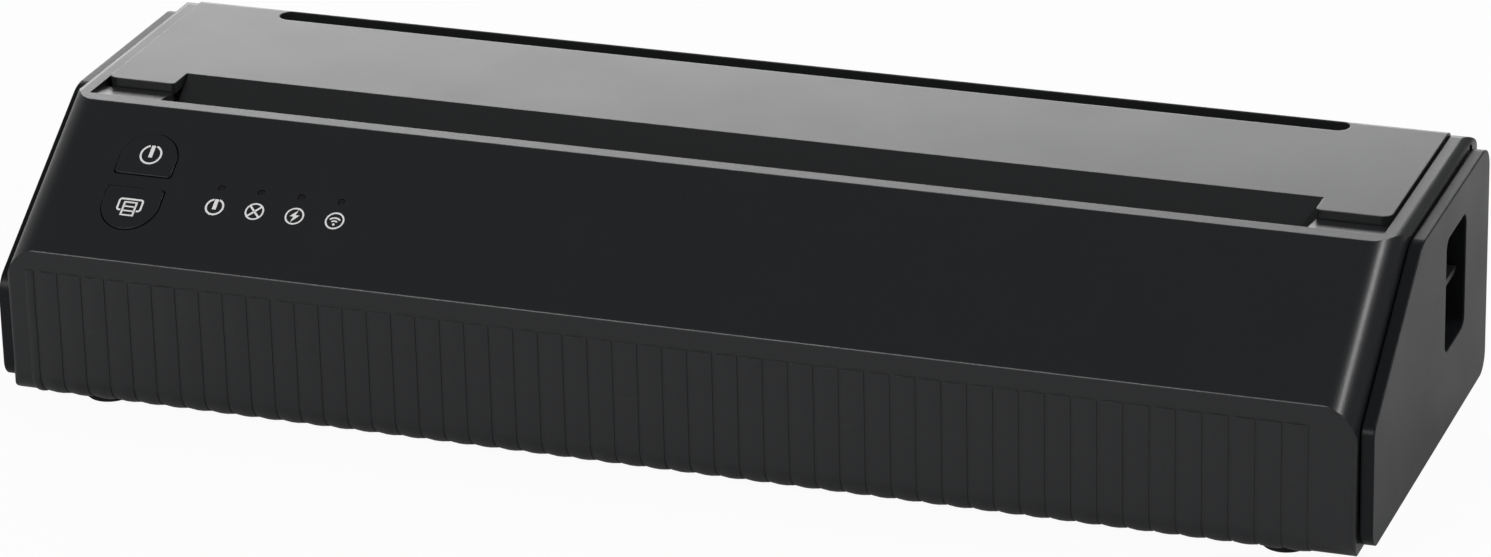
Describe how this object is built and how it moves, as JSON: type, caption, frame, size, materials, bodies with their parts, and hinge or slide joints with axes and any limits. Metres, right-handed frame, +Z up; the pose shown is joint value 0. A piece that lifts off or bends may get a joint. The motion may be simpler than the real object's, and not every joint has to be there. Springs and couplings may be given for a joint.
{
  "type": "portable thermal printer",
  "caption": "Flat battery-powered A4 thermal printer with a ribbed front, slanted key panel and a hinged lid that carries the platen roller.",
  "frame": {"origin": "on the table, under the middle of the case", "axes": "+X along the paper width to the right end seen from the front, +Y from the ribbed front to the rear wall, +Z up"},
  "size_m": [0.2756, 0.092, 0.0542],
  "materials": {
    "shell_plastic": "fine spark-eroded texture, satin",
    "cap_plastic": "fine spark-eroded texture, satin",
    "cover_plastic": "fine spark-eroded texture, satin",
    "frame_plastic": "plain moulded",
    "button_plastic": "fine texture with printed symbols",
    "slider_plastic": "plain moulded",
    "foot_rubber": "matte",
    "platen_rubber": "ground, matte",
    "bright_steel": "bright",
    "screw_steel": "blackened",
    "plate_steel": "zinc plated",
    "head_aluminium": "extruded",
    "head_ceramic": "glazed",
    "brass": "machined",
    "acetal": "moulded",
    "board_laminate": "solder mask",
    "chip_plastic": "moulded",
    "clear_plastic": "frosted",
    "cell_sleeve": "heat-shrink film",
    "cable_film": "film"
  },
  "bodies": {
    "base": {"bottom_shell": "shell_plastic", "top_housing": "shell_plastic", "end_cap_left": "cap_plastic", "end_cap_right": "cap_plastic", "rubber_feet": "foot_rubber", "case_screws": "screw_steel", "hinge_pins": "bright_steel", "stepper_motor": "plate_steel", "gear_plate": "plate_steel", "bearing_plate": "plate_steel", "head_shaft": "bright_steel", "head_springs": "bright_steel", "tear_bar": "bright_steel", "paper_guide": "frame_plastic", "paper_sensor": "chip_plastic", "button_board": "board_laminate", "tact_switches": "chip_plastic", "light_guide": "clear_plastic", "release_spring_left": "bright_steel", "release_spring_right": "bright_steel", "battery_cells": "cell_sleeve", "main_board": "board_laminate", "board_parts": "chip_plastic", "usb_socket": "bright_steel", "head_cable": "cable_film"},
    "lid": {"top_cover": "cover_plastic", "inner_cover": "frame_plastic", "cover_screws": "screw_steel", "platen_bushes": "acetal"},
    "platen": {"platen_rubber": "platen_rubber", "platen_shaft": "bright_steel", "platen_gear": "acetal"},
    "reduction": {"reduction_gear": "acetal"},
    "pinion": {"motor_pinion": "brass"},
    "print_head": {"heat_sink": "head_aluminium", "thermal_head": "head_ceramic"},
    "power_key": {"power_button": "button_plastic"},
    "feed_key": {"feed_button": "button_plastic"},
    "left_release": {"release_slider_left": "slider_plastic"},
    "right_release": {"release_slider_right": "slider_plastic"}
  },
  "joints": [
    {"name": "lid_hinge", "type": "hinge", "parent": "base", "child": "lid", "pos_m": [0, 0.0398, 0.0512], "axis": [-1, 0, 0], "range_deg": [0, 85]},
    {"name": "platen_spin", "type": "hinge", "parent": "lid", "child": "platen", "pos_m": [0, 0.0045, 0.043], "axis": [1, 0, 0], "continuous": true},
    {"name": "reduction_spin", "type": "hinge", "parent": "base", "child": "reduction", "pos_m": [-0.122, 0.00676, 0.03326], "axis": [1, 0, 0], "continuous": true},
    {"name": "pinion_spin", "type": "hinge", "parent": "base", "child": "pinion", "pos_m": [-0.122, 0.00163, 0.01916], "axis": [1, 0, 0], "continuous": true},
    {"name": "head_pivot", "type": "hinge", "parent": "base", "child": "print_head", "pos_m": [0, 0.0135, 0.031], "axis": [1, 0, 0], "range_deg": [0, 1.5], "stiffness_Nm_per_rad": 2, "springref_deg": -2.86, "deforming": ["head_springs"]},
    {"name": "power_press", "type": "slide", "parent": "base", "child": "power_key", "axis": [0, 0.5592, -0.829], "range_m": [0, 0.0006], "stiffness_N_per_m": 800, "springref_m": -0.0002},
    {"name": "feed_press", "type": "slide", "parent": "base", "child": "feed_key", "axis": [0, 0.5592, -0.829], "range_m": [0, 0.0006], "stiffness_N_per_m": 800, "springref_m": -0.0002},
    {"name": "left_release_slide", "type": "slide", "parent": "base", "child": "left_release", "axis": [0, 0, -1], "range_m": [0, 0.005], "stiffness_N_per_m": 200, "springref_m": -0.003, "deforming": ["release_spring_left"]},
    {"name": "right_release_slide", "type": "slide", "parent": "base", "child": "right_release", "axis": [0, 0, -1], "range_m": [0, 0.005], "stiffness_N_per_m": 200, "springref_m": -0.003, "deforming": ["release_spring_right"]}
  ],
  "couplings": [
    {"joint": "reduction_spin", "follows": "platen_spin", "ratio": -1.5},
    {"joint": "pinion_spin", "follows": "platen_spin", "ratio": 6}
  ]
}
